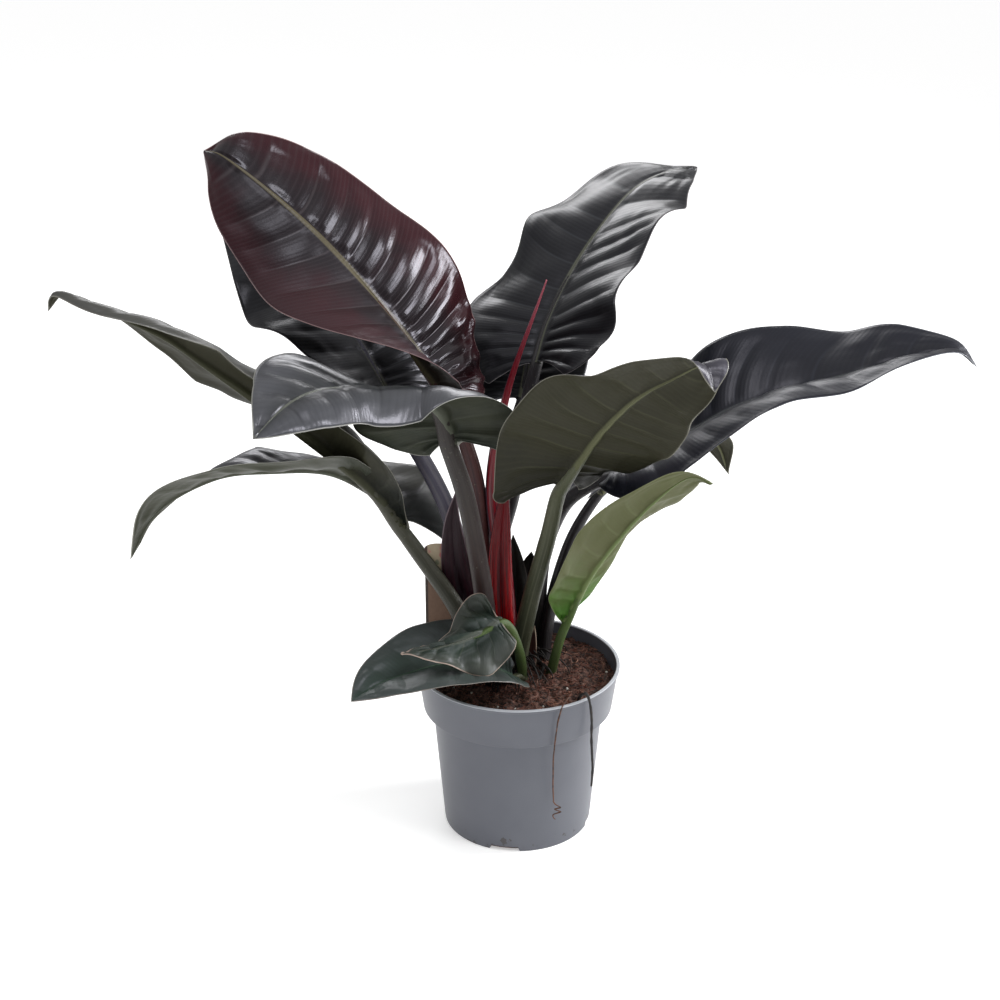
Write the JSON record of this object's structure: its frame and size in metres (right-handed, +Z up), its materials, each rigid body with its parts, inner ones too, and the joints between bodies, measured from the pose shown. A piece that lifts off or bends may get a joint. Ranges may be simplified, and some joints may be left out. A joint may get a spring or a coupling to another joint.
{
  "type": "potted red philodendron",
  "caption": "Broad-leaved aroid house plant in a round nursery pot: glossy dark leaves on long stalks from one short crown, with a rolled new leaf, sheaths, aerial roots and coir soil.",
  "frame": {"origin": "centre of the pot's flat underside", "axes": "+Z up along the pot's axis; +Y away from the side that is seen first; +X to the right of that view"},
  "size_m": [1.0061, 0.6337, 0.7888],
  "materials": {
    "leaf_wine": "glossy living leaf, wine red with a purple-grey sheen",
    "leaf_black": "glossy living leaf, almost black",
    "leaf_olive": "satin leaf underside, olive",
    "leaf_grey": "glossy living leaf, grey-green",
    "leaf_green": "satin leaf, olive green",
    "young_red": "smooth young growth, crimson",
    "sheath_purple": "smooth sheath, purple red with a pale edge",
    "dry_sheath": "dry sheath, dark and matt",
    "label_card": "thin printed card",
    "root": "dark fibrous root",
    "coir": "loose reddish-brown fibre",
    "pot_plastic": "moulded plastic, grey, satin"
  },
  "bodies": {
    "root": {"leaf_tall_left": "leaf_wine", "leaf_tall_right": "leaf_black", "leaf_behind_left": "leaf_black", "leaf_far_left": "leaf_olive", "leaf_front_left": "leaf_grey", "leaf_low_left": "leaf_grey", "leaf_front_right": "leaf_olive", "leaf_far_right": "leaf_black", "leaf_low_right": "leaf_green", "leaf_behind_right": "leaf_olive", "leaf_behind_centre": "leaf_black", "leaf_pot_edge": "leaf_green", "leaf_small_front": "leaf_grey", "new_leaf_spear": "young_red", "cataphyll_red": "young_red", "cataphyll_purple": "sheath_purple", "dark_sheath_left": "dry_sheath", "dark_sheath_right": "dry_sheath", "dry_sliver": "dry_sheath", "plant_label": "label_card", "aerial_root_thin": "root", "aerial_root_thick": "root", "crown_stem": "root", "soil": "coir", "pot": "pot_plastic"}
  },
  "joints": []
}
